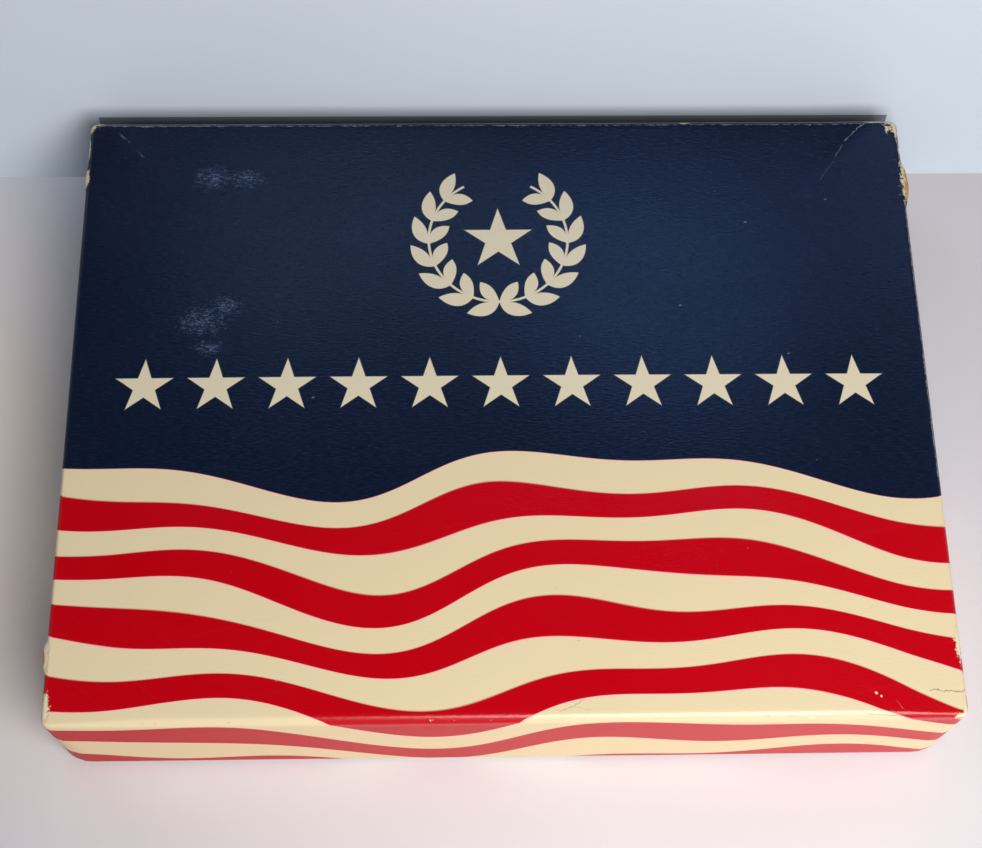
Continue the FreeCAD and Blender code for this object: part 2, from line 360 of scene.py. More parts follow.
paperWear = {
    "core": "#e6dcc3", "board": "#c09355", "rub": "#5f7ba3", "crease": "#9aa3ad", "crack": "#6d5a45",
    "yellow": "#fff8f1",  # laid over the walls as a thin glaze
    "grain": (2.8, 0.6),  # length and height of the fibres, drawn about twice as coarse so that they show
    "varnishSize": 28.0,  # patches of more and less gloss
    "tearSize": 2.2,  # ragged edges of torn paper
    "fuzzSize": 0.7,  # loose fibres of bare paper
    "breakSize": 7.0,  # from break to break along a rubbed fold
    "nickSize": (34.0, 17.0),
    "hairSize": (70.0, 0.6),
    "hairs": ((0.2, 3.0), (-0.75, 11.0)),  # turn and shift of each set of hairlines
    "creasesAndHighlights": [  # pale lines as (start, end, half width, strength), in paper places: cracked varnish, and painted highlights along the back and right folds
        ((147.5, 114.6), (142.4, 113.0), 0.24, 0.80),
        ((142.4, 113.0), (137.4, 109.6), 0.18, 0.85),
        ((137.4, 109.6), (131.9, 104.4), 0.16, 0.80),
        ((131.9, 104.4), (124.2, 93.2), 0.11, 0.55),
        ((124.2, 93.2), (119.5, 86.5), 0.08, 0.25),
        ((-149.0, 111.6), (149.0, 111.6), 0.24, 0.85),  # the back fold, rubbed along both its edges, with a painted highlight along them
        ((-148.0, 114.4), (148.0, 114.4), 0.70, 0.70),
        ((151.6, 107.0), (151.6, -30.0), 0.70, 0.85),  # and the right one, rubbed and with a painted highlight
        ((-140.9, 108.6), (-137.1, 104.9), 0.12, 0.45),
        ((-134.2, 101.6), (-131.6, 99.3), 0.12, 0.40),
        ((129.0, -108.4), (131.6, -111.6), 0.06, 0.50),
        ((108.5, -111.8), (112.0, -112.3), 0.10, 0.50),
    ],
    "cracks": [  # dark lines in the same way: where dirt has gone into the cracked paper, and two along the foot of the front wall
        ((139.7, -104.7), (152.2, -105.5), 0.10, 0.75),
        ((118.9, -113.1), (129.6, -114.1), 0.10, 0.70),
        ((129.6, -114.1), (133.2, -111.6), 0.12, 0.60),
        ((142.3, -116.3), (150.0, -115.3), 0.14, 0.70),
        # these two are dark lines along the foot of the front wall, near its left corner
        ((-147.0, -155.0), (-137.0, -157.6), 0.30, 0.65),
        ((-137.0, -157.6), (-118.0, -158.6), 0.22, 0.50),
        ((17.4, -111.6), (21.6, -109.9), 0.08, 0.60),
        ((21.6, -109.9), (25.2, -107.4), 0.06, 0.50),
        ((22.5, -110.0), (27.8, -111.0), 0.05, 0.30),
    ],
    "rubs": [  # scuffed patches as (middle, half sizes)
        ((-105.5, 90.5), (8.0, 6.0)),
        ((-93.0, 90.5), (7.5, 4.2)),
        ((-107.0, 31.5), (9.5, 6.5)),
        ((-98.5, 37.5), (6.5, 4.5)),
        ((-104.0, 21.0), (6.0, 3.5)),
    ],
    "wornFolds": [  # lengths of fold that have been rubbed most as (middle, half sizes)
        ((92.0, -115.0), (28.0, 4.0)),
        ((153.0, -98.0), (4.0, 18.0)),
    ],
    "chips": [  # ink and varnish gone from the paper as (middle, half sizes)
        ((152.0, 114.0), (6.5, 8.0)),
        ((143.5, 114.0), (4.5, 2.4)),
        ((152.6, 101.5), (1.2, 1.8)),
        ((155.2, 88.5), (5.2, 12.5)),
        ((-152.2, 114.4), (5.2, 5.0)),
        ((-152.8, 103.5), (1.6, 4.4)),
        ((-152.2, 91.0), (2.2, 3.8)),
        ((-152.8, -91.0), (2.8, 6.0)),
        ((-150.6, -107.2), (2.6, 5.0)),
        ((151.2, -90.0), (2.4, 6.5)),
        ((151.4, -110.2), (2.2, 5.4)),
        ((151.8, -114.6), (4.2, 3.4)),
        ((71.5, 114.2), (2.4, 2.2)),
        ((84.5, 114.8), (6.0, 1.1)),
        ((101.0, -114.3), (1.8, 1.0)),
        ((97.6, -114.6), (1.7, 0.4)),
        ((104.8, -114.3), (1.9, 0.4)),
        ((122.5, -106.2), (0.65, 0.7)),
        ((124.1, -107.2), (0.5, 0.5)),
    ],
    "bareBoard": [  # the paper is gone too
        ((155.0, 86.0), (4.0, 10.0)),
        ((153.2, 110.8), (1.6, 3.6)),
        ((152.6, -109.0), (1.0, 2.4)),
        ((-153.2, -92.0), (1.2, 3.0)),
    ],
}


def layered(node, colour, *layers):  # each (mask, colour) is laid over what is under it
    for mask, over in layers:
        shade = linear(over) if isinstance(over, str) else over
        colour = node("Mix", sockets={0: mask, 6: colour, 7: shade}, data_type="RGBA", out=2)
    return colour


def strongest(node, *masks):  # the highest of several masks
    total = masks[0]
    for mask in masks[1:]:
        total = node("Math", total, mask, operation="MAXIMUM")
    return total


def starInside(node, x, y, radius):  # how far inside a five-pointed star a place is, one point towards +y
    angle = node("Math", x, y, operation="ARCTAN2")
    fold = node("Math", angle, math.pi / 5, operation="PINGPONG")
    lean = node("Math", fold, 2 * math.pi / 5, operation="SUBTRACT")
    cosine = node("Math", lean, operation="COSINE")
    place = node("CombineXYZ", x, y)
    reach = node("VectorMath", place, operation="LENGTH", out="Value")
    edge = node("Math", reach, cosine, operation="MULTIPLY")
    return node("Math", radius * math.cos(2 * math.pi / 5), edge, operation="SUBTRACT")


def sineWave(node, along, down, length, phase, drift):  # a wave along the sheet that drifts on its way down
    turn = node("Math", along, 2 * math.pi / length, phase, operation="MULTIPLY_ADD")
    turn = node("Math", down, drift, turn, operation="MULTIPLY_ADD")
    return node("Math", turn, operation="SINE")


def printInks(node, u, v, fibre):  # the printed colours, from the paper place and the grain of the paper
    wave = printDesign["waveTop"]
    for height, *form in printDesign["waves"]:
        wave = node("Math", sineWave(node, u, v, *form), height, wave, operation="MULTIPLY_ADD")
    below = node("Math", wave, v, operation="SUBTRACT")  # distance below the top of the stripes
    past = node("Math", -lidReachY, v, operation="SUBTRACT")
    past = node("Math", past, 0.0, operation="MAXIMUM")
    below = node("Math", past, printDesign["wallSpread"] - 1, below, operation="MULTIPLY_ADD")
    height, *form = printDesign["swell"]
    width = printDesign["bandWidth"]
    swell = node("MapRange", below, 0.0, width, 0.0, height)
    below = node("Math", sineWave(node, u, below, *form), swell, below, operation="MULTIPLY_ADD")
    shifted = node("Math", below, 1.5 * width, operation="SUBTRACT")
    middle = node("Math", shifted, width, -width, operation="WRAP")  # from the middle of the red stripe
    spread = node("Math", middle, operation="ABSOLUTE")
    insideRed = node("Math", width / 2, spread, operation="SUBTRACT")
    soft = printDesign["inkEdge"]
    red = node("MapRange", insideRed, -soft, soft)
    lower = node("MapRange", middle, -soft, soft)
    far, near = printDesign["haloGap"]
    halo = node("MapRange", insideRed, -far * soft, -near * soft)
    halo = node("Math", halo, lower, operation="MULTIPLY")
    far, near, most = printDesign["overlapGap"]
    overlap = node("MapRange", insideRed, -far * soft, -near * soft, 0.0, most)
    upper = node("Math", 1.0, lower, operation="SUBTRACT")
    overlap = node("Math", overlap, upper, operation="MULTIPLY")
    navy = node("MapRange", below, soft, -soft)
    uneven = node("MapRange", fibre, 0.3, 0.7)  # the dark ink lies thinner on the tops of the fibres
    navyInk = layered(node, linear(printDesign["navy"]), (uneven, printDesign["navyPale"]))
    ornament = strongest(node, starRow(node, u, v), wreath(node, u, v))
    ornament = node("MapRange", ornament, -soft, soft)
    return layered(node, linear(printDesign["cream"]), (halo, printDesign["halo"]),
                   (overlap, printDesign["overlap"]), (red, printDesign["red"]), (navy, navyInk),
                   (ornament, printDesign["ornament"]))


def starRow(node, u, v):  # a plain row of stars across the panel
    place, pitch, radius, each = printDesign["starRow"]
    x = node("Math", u, pitch / 2, -pitch / 2, operation="WRAP")
    y = node("Math", v, place, operation="SUBTRACT")
    stars = starInside(node, x, y, radius)
    side = node("Math", u, operation="ABSOLUTE")
    within = node("Math", (each + 0.5) * pitch, side, operation="SUBTRACT")
    return node("Math", stars, within, operation="MINIMUM")


def wreath(node, u, v):  # a laurel wreath, open at the top, round one star
    place, stem, pitch, leaves = printDesign["wreath"]
    halfLength, halfWidth, offset, lean = printDesign["leaf"]
    y = node("Math", v, place, operation="SUBTRACT")
    down = node("Math", y, -1.0, operation="MULTIPLY")
    angle = node("Math", u, down, operation="ARCTAN2")
    angle = node("Math", angle, operation="ABSOLUTE")  # from the foot of the wreath, the same on both sides
    along = node("Math", angle, stem, operation="MULTIPLY")
    end = node("Math", leaves * pitch, along, operation="SUBTRACT")
    along = node("Math", along, pitch, 0.0, operation="WRAP")
    along = node("Math", along, pitch / 2, operation="SUBTRACT")
    reach = node("VectorMath", node("CombineXYZ", u, y), operation="LENGTH", out="Value")
    out = node("Math", reach, stem, operation="SUBTRACT")
    local = node("CombineXYZ", along, out)
    stalk = node("Math", out, operation="ABSOLUTE")
    inside = node("Math", printDesign["stemHalf"], stalk, operation="SUBTRACT")
    for side in (-1, 1):
        leaf = node("Mapping", local, (0, side * offset, 0), (0, 0, side * lean), (halfLength, halfWidth, 1),
                    vector_type="TEXTURE")
        parts = node("SeparateXYZ", leaf).node.outputs
        bow = node("Math", parts[0], parts[0], operation="MULTIPLY")
        thick = node("Math", parts[1], operation="ABSOLUTE")
        filled = node("Math", bow, thick, operation="ADD")
        blade = node("Math", filled, -halfWidth, halfWidth, operation="MULTIPLY_ADD")
        inside = strongest(node, inside, blade)
    inside = node("Math", inside, end, operation="MINIMUM")
    return strongest(node, inside, starInside(node, u, y, printDesign["wreathStar"]))


def crackLines(node, paper, jitter, places):  # how strongly a cracked line shows at a place
    lines = []
    for start, end, halfWidth, strength in places:
        run = Vector(end) - Vector(start)
        middle = (Vector(start) + Vector(end)) / 2
        local = node("Mapping", paper, (*middle, 0), (0, 0, math.atan2(run.y, run.x)), (1, 1, 1),
                     vector_type="TEXTURE")
        parts = node("SeparateXYZ", local).node.outputs
        across = node("Math", jitter, 1.8, parts[1], operation="MULTIPLY_ADD")
        across = node("Math", across, operation="ABSOLUTE")
        line = node("MapRange", across, halfWidth + 0.1, halfWidth / 3, 0.0, strength)
        length = node("Math", parts[0], operation="ABSOLUTE")
        fade = node("MapRange", length, run.length / 2 + 0.3, run.length / 2 - 0.5)
        lines.append(node("Math", line, fade, operation="MULTIPLY"))
    return strongest(node, *lines)


def patches(node, paper, places):  # soft oval patches, 1 in the middle and 0 at the rim
    spots = []
    for middle, size in places:
        local = node("Mapping", paper, (*middle, 0), (0, 0, 0), (*size, 1), vector_type="TEXTURE")
        reach = node("VectorMath", local, operation="LENGTH", out="Value")
        spots.append(node("Math", 1.0, reach, operation="SUBTRACT"))
    return strongest(node, *spots)


def pastFolds(node, places, reaches):  # how far a paper place lies past the folds, each way
    past = []
    for place, reach in zip(places, reaches):
        side = node("Math", place, operation="ABSOLUTE")
        past.append(node("Math", side, reach, operation="SUBTRACT"))
    return past


def varnishedPrint():
    material, node = newMaterial("varnishedPrintedPaper")
    paper = node("UVMap", uv_map="paper")
    u, v = node("SeparateXYZ", paper).node.outputs[:2]
    broad = node("TexNoise", paper, sockets={"Scale": 1 / paperWear["varnishSize"], "Detail": 2.0},
                 noise_dimensions="2D")
    ragged = node("TexNoise", paper, noise_dimensions="2D",
                  sockets={"Scale": 1 / paperWear["tearSize"], "Detail": 4.0, "Roughness": 0.65})
    fine = node("TexNoise", paper, sockets={"Scale": 1 / paperWear["fuzzSize"], "Detail": 3.0},
                noise_dimensions="2D")
    jitter = node("Math", ragged, 0.5, operation="SUBTRACT")

    # Distances to the folds, the upright corners and the rim, all along the paper
    past = pastFolds(node, (u, v), (lidReachX, lidReachY))
    drop = node("Math", *past, operation="MAXIMUM")
    toFold = node("Math", drop, operation="ABSOLUTE")
    other = node("Math", *past, operation="MINIMUM")
    toCorner = node("Math", other, operation="ABSOLUTE")
    pastRim = node("Math", drop, lidShape["depth"], operation="SUBTRACT")
    toRim = node("Math", pastRim, operation="ABSOLUTE")

    # Rubbed folds: chips here and there, many more on the lengths that have been rubbed most
    broken = node("TexNoise", paper, sockets={"Scale": 1 / paperWear["breakSize"], "Detail": 1.0},
                  noise_dimensions="2D")
    broken = node("MapRange", broken, 0.3, 0.7, -0.9, 0.6)
    most = node("MapRange", patches(node, paper, paperWear["wornFolds"]), 0.0, 0.6, -0.75, 0.0)
    most = node("Math", broken, most, operation="ADD")
    reach = node("Math", jitter, 3.6, most, operation="MULTIPLY_ADD")
    foldWear = node("Math", reach, toFold, operation="SUBTRACT")
    reach = node("Math", jitter, 3.4, -0.35, operation="MULTIPLY_ADD")
    rimWear = node("Math", reach, toRim, operation="SUBTRACT")
    cornerWear = node("Math", reach, toCorner, operation="SUBTRACT")
    onWall = node("MapRange", drop, 0.0, 1.0, -2.0, 0.0)
    cornerWear = node("Math", cornerWear, onWall, operation="ADD")
    wear = node("MapRange", strongest(node, foldWear, rimWear, cornerWear), 0.0, 0.25)
    wear = node("Math", wear, node("MapRange", fine, 0.34, 0.46), operation="MULTIPLY")
    chipped = patches(node, paper, paperWear["chips"])
    chip = node("Math", jitter, 1.4, chipped, operation="MULTIPLY_ADD")
    chip = node("Math", fine, 0.6, chip, operation="MULTIPLY_ADD")
    chip = node("MapRange", chip, 0.31, 0.49)
    torn = patches(node, paper, paperWear["bareBoard"])
    board = node("Math", jitter, 1.5, torn, operation="MULTIPLY_ADD")
    board = node("MapRange", board, 0.05, 0.35)
    # pale crease lines, and painted highlights along the back and right folds
    crease = crackLines(node, paper, jitter, paperWear["creasesAndHighlights"])
    crease = node("Math", crease, node("MapRange", ragged, 0.40, 0.60), operation="MULTIPLY")
    crack = crackLines(node, paper, jitter, paperWear["cracks"])

    # Scuffs leave the tops of the paper's grain bare
    grain = (*paperWear["grain"], 1)
    fibre = node("Mapping", paper, (0, 0, 0), (0, 0, 0), grain, vector_type="TEXTURE")
    fibre = node("TexNoise", fibre, sockets={"Scale": 1.0, "Detail": 3.0}, noise_dimensions="2D")
    rubbed = patches(node, paper, paperWear["rubs"])
    scuffed = node("Math", jitter, 1.6, rubbed, operation="MULTIPLY_ADD")
    scuffed = node("MapRange", scuffed, 0.0, 0.9)
    tops = node("Math", fibre, fine, operation="ADD")
    tops = node("MapRange", tops, 0.96, 1.30, 0.04, 0.85)
    rub = node("Math", scuffed, tops, operation="MULTIPLY")

    # A few short nicks, and long faint hairlines from other boxes sliding over it
    cell = (*paperWear["nickSize"], 1)
    nicks = node("Mapping", paper, (3, 7, 0), (0, 0, 0.25), cell, vector_type="TEXTURE")
    nicks = node("TexVoronoi", nicks, sockets={"Scale": 1.0}, voronoi_dimensions="2D").node.outputs
    chance = node("SeparateColor", nicks["Color"])
    nick = node("MapRange", chance, 0.65, 1.0, 0.0, 0.020)
    nick = node("Math", nick, nicks["Distance"], operation="SUBTRACT")
    nick = node("MapRange", nick, -0.002, 0.010, 0.0, 0.5)
    hairs = []
    hairSize = (*paperWear["hairSize"], 1)
    for turn, shift in paperWear["hairs"]:
        streak = node("Mapping", paper, (shift, shift, 0), (0, 0, turn), hairSize, vector_type="TEXTURE")
        streak = node("TexNoise", streak, sockets={"Scale": 1.0, "Detail": 1.0}, noise_dimensions="2D")
        hairs.append(node("MapRange", streak, 0.74, 0.80, 0.0, 0.02))
    pale = strongest(node, rub, *hairs)

    inks = printInks(node, u, v, fibre)
    core = layered(node, linear(paperWear["core"]), (fine, printDesign["cream"]))
    bare = strongest(node, wear, chip)
    colour = layered(node, inks, (pale, paperWear["rub"]), (crease, paperWear["crease"]),
                     (nick, paperWear["crease"]), (bare, core), (board, paperWear["board"]),
                     (crack, paperWear["crack"]))
    yellowed = node("MapRange", drop, 0.0, 4.0)  # hands and light have yellowed the walls
    colour = node("Mix", sockets={0: yellowed, 6: colour, 7: linear(paperWear["yellow"])},
                  data_type="RGBA", blend_type="MULTIPLY", out=2)

    # Gloss: even varnish, dulled by scuffs and gone where the paper is bare
    gloss = node("MapRange", broad, 0.0, 1.0, 0.175, 0.235)
    dulled = node("MapRange", toFold, 2.5, 0.5, 0.0, 0.15)  # hands have dulled the folds and the walls
    walls = node("MapRange", drop, 0.0, 4.0, 0.0, 0.55)
    rough = node("Math", strongest(node, bare, rub, dulled, walls), 0.55, gloss, operation="MULTIPLY_ADD")
    relief = node("Bump", sockets={"Strength": 0.6, "Distance": 0.08 * mm, "Height": fibre}, out="Normal")
    relief = node("Bump", sockets={"Strength": 0.8, "Distance": 0.2 * mm, "Height": bare,
                                   "Normal": relief}, out="Normal", invert=True)
    shader = node("BsdfPrincipled", sockets={"Base Color": colour, "Roughness": rough, "IOR": 1.55,
                                             "Normal": relief})
    node("OutputMaterial", shader)
    return material


placePiece("lid_wrap_printed", lidMesh, varnishedPrint(), "lid", ["lid_wrap"])
print("lid printed")


# Tray paper: the same fold, drawn the other way up, in plain paper

trayLow, trayHigh = (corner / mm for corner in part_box("tray_wrap"))
trayShape = {
    "flare": 0.0,
    "depth": trayHigh.z - trayLow.z,
    "halfWidth": trayHigh.x,
    "halfLength": trayHigh.y,
    "foldCornerRadius": 3.0,
    "rimCornerRadius": 3.0,
    "foldRadius": 2.0,
    "tightFold": 1.0,
    "softBlend": 1.0,
    "drawIn": 14.0,
    "foldApex": 3,
    "rimRound": 0.45,
    "wallThickness": 1.7,
    "turnIn": 14.0,
    "mesh": 6.0,
    "paper": 0.18,
}
trayTurns = [math.radians(angle) for angle in range(0, 91, 15)]
trayFold = trayShape["foldRadius"]
trayShape["foldProfile"] = [(trayFold * (1 - math.sin(turn)), trayFold * (1 - math.cos(turn)))
                            for turn in trayTurns]
trayBlocks, trayReachX, trayReachY = wrapBlocks(trayShape)
trayBlocks = [[[(Vector((place.x, -place.y, -place.z)) * mm, paper) for place, paper in row] for row in rows]
              for rows in trayBlocks]
trayMesh = thickened(quilt("trayPaper", trayBlocks, "paper"), trayShape["paper"])


# Uncoated cover paper: matt and a little yellowed, with loose fibres, a few rust spots and rubbed folds

def agedPaper():
    material, node = newMaterial("uncoatedCoverPaper")
    paper = node("UVMap", uv_map="paper")
    u, v = node("SeparateXYZ", paper).node.outputs[:2]
    fibre = node("TexNoise", paper, sockets={"Scale": 1 / 1.6, "Detail": 4.0, "Distortion": 1.5},
                 noise_dimensions="2D")
    cloud = node("TexNoise", paper, sockets={"Scale": 1 / 45.0, "Detail": 3.0}, noise_dimensions="2D")
    spots = node("TexVoronoi", paper, sockets={"Scale": 1 / 26.0}, voronoi_dimensions="2D", out="Distance")
    drop = node("Math", *pastFolds(node, (u, v), (trayReachX, trayReachY)), operation="MAXIMUM")
    toFold = node("Math", drop, operation="ABSOLUTE")
    ragged = node("Math", fibre, 5.0, -2.6, operation="MULTIPLY_ADD")
    rubbed = node("Math", ragged, toFold, operation="SUBTRACT")
    rubbed = node("MapRange", rubbed, 0.0, 0.5, 0.0, 0.8)
    yellow = node("MapRange", cloud, 0.35, 0.75, 0.0, 0.7)
    flecks = node("MapRange", fibre, 0.60, 0.75, 0.0, 0.35)
    foxing = node("MapRange", spots, 0.05, 0.0, 0.0, 0.45)
    colour = layered(node, linear("#ddd3bb"), (yellow, "#cfbf9a"), (flecks, "#c3b594"), (foxing, "#9c7443"),
                     (rubbed, "#a58a63"))
    relief = node("Bump", sockets={"Strength": 0.4, "Distance": 0.04 * mm, "Height": fibre}, out="Normal")
    shader = node("BsdfPrincipled", sockets={"Base Color": colour, "Roughness": 0.85, "Normal": relief})
    node("OutputMaterial", shader)
    return material


placePiece("tray_wrap_plain", trayMesh, agedPaper(), "tray", ["tray_wrap"])
print("tray wrapped")


# Board and corner tape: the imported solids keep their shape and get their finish

def greyChipboard():  # pulped waste paper: dull grey-brown with pale and dark fibres, and no gloss at all
    material, node = newMaterial("greyChipboard")
    spot = node("TexCoord", out="Object")
    fibre = node("TexNoise", spot, sockets={"Scale": 1 / (1.8 * mm), "Detail": 5.0, "Distortion": 2.0})
    cloud = node("TexNoise", spot, sockets={"Scale": 1 / (30 * mm), "Detail": 2.0})
    pale = node("MapRange", fibre, 0.55, 0.75, 0.0, 0.6)
    dark = node("MapRange", fibre, 0.42, 0.28, 0.0, 0.6)
    uneven = node("MapRange", cloud, 0.35, 0.7, 0.0, 0.5)
    colour = layered(node, linear("#a3927a"), (uneven, "#b39c78"), (pale, "#c4b497"), (dark, "#75664f"))
    relief = node("Bump", sockets={"Strength": 0.5, "Distance": 0.08 * mm, "Height": fibre}, out="Normal")
    shader = node("BsdfPrincipled", sockets={"Base Color": colour, "Roughness": 0.9, "Normal": relief})
    node("OutputMaterial", shader)
    return material


def gummedKraft():  # brown wrapping paper with a faint machine rib, slightly shiny from the gum
    material, node = newMaterial("gummedKraftTape")
    spot = node("TexCoord", out="Object")
    rib = node("TexWave", spot, bands_direction="Z",
               sockets={"Scale": 1 / (2.4 * mm) / waveUnit, "Distortion": 1.0, "Detail": 2.0})
    fibre = node("TexNoise", spot, sockets={"Scale": 1 / (1.2 * mm), "Detail": 4.0})
    pale = node("MapRange", fibre, 0.5, 0.75, 0.0, 0.6)
    ribbed = node("MapRange", rib, 0.2, 1.0, 0.0, 0.25)
    colour = layered(node, linear("#b08a5b"), (pale, "#c6a374"), (ribbed, "#967043"))
    relief = node("Bump", sockets={"Strength": 0.3, "Distance": 0.03 * mm, "Height": fibre}, out="Normal")
    shader = node("BsdfPrincipled", sockets={"Base Color": colour, "Roughness": 0.6, "Normal": relief})
    node("OutputMaterial", shader)
    return material


def rolledBrass():  # plated sheet brass, pressed and rolled: warm and bright, browner where it has tarnished
    material, node = newMaterial("rolledBrass")
    spot = node("TexCoord", out="Object")
    tarnish = node("TexNoise", spot, sockets={"Scale": 1 / (3.0 * mm), "Detail": 4.0})
    brown = node("MapRange", tarnish, 0.45, 0.75, 0.0, 0.75)
    colour = layered(node, linear("#d9b25c"), (brown, "#9c7433"))
    rough = node("MapRange", tarnish, 0.3, 0.75, 0.22, 0.48)
    shader = node("BsdfPrincipled", sockets={"Base Color": colour, "Roughness": rough, "Metallic": 1.0})
    node("OutputMaterial", shader)
    return material


def finishNodes(material, *names):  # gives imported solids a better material
    for name in names:
        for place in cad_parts[name].material_slots:
            place.material = material


finishNodes(greyChipboard(), "lid_board", "tray_board")
finishNodes(gummedKraft(), "lid_corner_stays", "tray_corner_stays")
finishNodes(rolledBrass(), "heading_eyelets", "eyelet_washers")
print("board, tape and brass finished")


# Flag: one sheet of cotton, pleated along its length and fan-folded, lying slack on itself

flagLow, flagHigh = (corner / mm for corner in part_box("folded_flag"))
headingLow, headingHigh = (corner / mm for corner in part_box("flag_heading"))
flagPack = {
    "plies": 7,
    "panels": 10,
    "panelPitch": 3.5,
    "plyStep": 0.45,
    "cloth": 0.28,
    "tuck": 4.0,  # how far the cloth runs into the heading
    "ease": 24.0,  # over this length its plies open out to the heading's
    "fineMesh": 4.5,
    "coarseMesh": 36.0,
    "pleatMesh": (5.0, 27.0),  # across the top ply and across the rest
    "slack": 0.9,  # how far the pack rises and falls
    "rises": ((62, 48, 3.1, 1.0), (24, 33, 8.4, 0.4)),  # lengths along and across, noise layer, share
    "wrinkle": 0.9,  # how far the top ply stands up in wrinkles
    "wrinkles": ((34, 13, 5.7, 1.0), (11, 40, 1.9, 0.5)),
    "flatEdge": 14,  # the wrinkles die out over this much at the edges
    "flatHeading": 30.0,  # slack and wrinkles come in over this much beside the heading
    "endScatter": 1.0,  # how far the folds at the ends stand out of line
    "endWave": (70, 4.2, 6.0),  # lengths across and upwards, noise layer
    "sideScatter": 0.6,
    "sideWave": (60, 1.1, 9.0),
    "edgePower": 4,  # higher keeps the scatter nearer to the folds
}
headingBand = {
    "canvas": 0.40,
    "thread": 1.3,  # spacing, drawn about twice as coarse as it is so that the weave shows
    "pressReach": (9.7, 13.5),  # the band is squeezed flat up to the first radius, and not past the second
    "holeRadius": 7.4,
    "mesh": 2.0,
}


# Gives (y, offset in steps, v) across a zigzag of plies, from the top one down
def pleats(halfWidth, plies, step, thickness, meshFirst, meshRest):
    turnRadius = step / 2
    straight = halfWidth - turnRadius - thickness / 2
    points = []
    run = 0.0
    for ply in range(plies):
        side = 1 if ply % 2 == 0 else -1
        level = (plies - 1) / 2 - ply
        mesh = meshFirst if ply == 0 else meshRest
        points += [(side * y, level, run + y + straight) for y in spaced(-straight, straight, mesh)]
        run += 2 * straight
        if ply < plies - 1:
            for angle in (45, 90, 135):
                turn = math.radians(angle)
                out = side * (straight + turnRadius * math.sin(turn))
                points.append((out, level - 0.5 + 0.5 * math.cos(turn), run + turnRadius * turn))
            run += turnRadius * math.pi
    return points


def fanFold():  # (place of the strip's middle, its normal, u) along the fan, from the hoist on top downwards
    pitch, panels = flagPack["panelPitch"], flagPack["panels"]
    radius = pitch / 2
    thickness = (flagHigh.z - flagLow.z) - (panels - 1) * pitch
    reach = flagHigh.x - (pitch + thickness) / 2
    height = flagHigh.z - thickness / 2
    points = []
    run = 0.0
    for panel in range(panels):
        way = 1 if panel % 2 == 0 else -1  # the top panel runs towards +X
        start = headingHigh.x - flagPack["tuck"] if panel == 0 else -way * reach
        run += start + reach if panel == 0 else 0.0
        mesh = flagPack["fineMesh"] if panel == 0 else flagPack["coarseMesh"]
        for x in spaced(start, way * reach, mesh):
            points.append((Vector((x, 0, height)), Vector((0, 0, way)), run + abs(x - start)))
        run += abs(way * reach - start)
        if panel < panels - 1:
            for angle in (30, 60, 90, 120, 150):
                turn = math.radians(angle)
                arm = Vector((way * math.sin(turn), 0, math.cos(turn)))
                middle = Vector((way * reach, 0, height - radius))
                points.append((middle + arm * radius, arm * way, run + radius * turn))
            run += radius * math.pi
            height -= pitch
    return points


def settled(place, topPly):  # a place in the neat pack, moved to where the slack cloth lies
    x, y, z = place
    height = (z - flagLow.z) / (flagHigh.z - flagLow.z)
    clear = eased((x - headingHigh.x) / flagPack["flatHeading"])
    rise = sum(share * noise.noise(Vector((x / long, y / wide, layer)))
               for long, wide, layer, share in flagPack["rises"])
    crease = sum(share * max(0.0, noise.noise(Vector((x / long, y / wide, layer))))
                 for long, wide, layer, share in flagPack["wrinkles"])
    rim = flagPack["flatEdge"]
    edge = eased((flagHigh.y - abs(y)) / rim) * eased((flagHigh.x - abs(x)) / rim)
    ends = (abs(x) / flagHigh.x) ** flagPack["edgePower"]
    sides = (abs(y) / flagHigh.y) ** flagPack["edgePower"]
    wide, tall, layer = flagPack["endWave"]
    x += flagPack["endScatter"] * ends * noise.noise(Vector((y / wide, z / tall, math.copysign(layer, x))))
    long, tall, layer = flagPack["sideWave"]
    y += flagPack["sideScatter"] * sides * noise.noise(Vector((x / long, z / tall, math.copysign(layer, y))))
    z += clear * (flagPack["slack"] * rise * height + flagPack["wrinkle"] * crease * edge * topPly)
    return Vector((x, y, z)) * mm


def flagSheet():
    middle = (headingHigh.z + headingLow.z) / 2
    bandStep = (headingHigh.z - headingLow.z - headingBand["canvas"]) / (flagPack["plies"] - 1)
    lines = pleats(flagHigh.y, flagPack["plies"], flagPack["plyStep"], flagPack["cloth"],
                   *flagPack["pleatMesh"])
    rows = []
    for place, normal, u in fanFold():
        isTop = normal.z == 1 and place.z > flagHigh.z - flagPack["panelPitch"]
        near = eased((headingHigh.x + flagPack["ease"] - place.x) / flagPack["ease"]) if isTop else 0.0
        step = flagPack["plyStep"] * (1 - near) + bandStep * near
        lift = Vector((0, 0, (middle - place.z) * near))
        row = []
        for y, level, v in lines:
            spot = place + lift + normal * step * level + Vector((0, y, 0))
            topPly = eased((level - 2.0) / 1.0) if isTop else 0.0
            row.append((settled(spot, topPly), (u, v)))
        rows.append(row)
    return rows


flagMesh = thickened(quilt("flagCloth", [flagSheet()], "cloth"), flagPack["cloth"], 0.0)
print("flag folded:", len(flagMesh.polygons), "faces")


# Cotton bunting: plain weave with a dry sheen and uneven threads, dyed stripes and a field of white stars

flagDesign = {
    "navy": "#27305a", "red": "#9f1c2e", "white": "#e9e4d8",
    "stripes": 13, "hoist": 1524.0, "fieldStripes": 7, "fieldFly": 1158.0,
    "starStep": (96.0, 82.06), "starRadius": 47.0,
    "thread": 1.1,  # thread spacing, drawn about twice as coarse as it is so that the weave shows
}


def plainWeave(node, u, v, thread):  # threads that go over and under each other in turn, as a height
    waves = []
    for place in (u, v):
        turn = node("Math", place, math.pi / thread, operation="MULTIPLY")
        waves.append(node("Math", turn, operation="SINE"))
    return node("Math", *waves, operation="MULTIPLY")


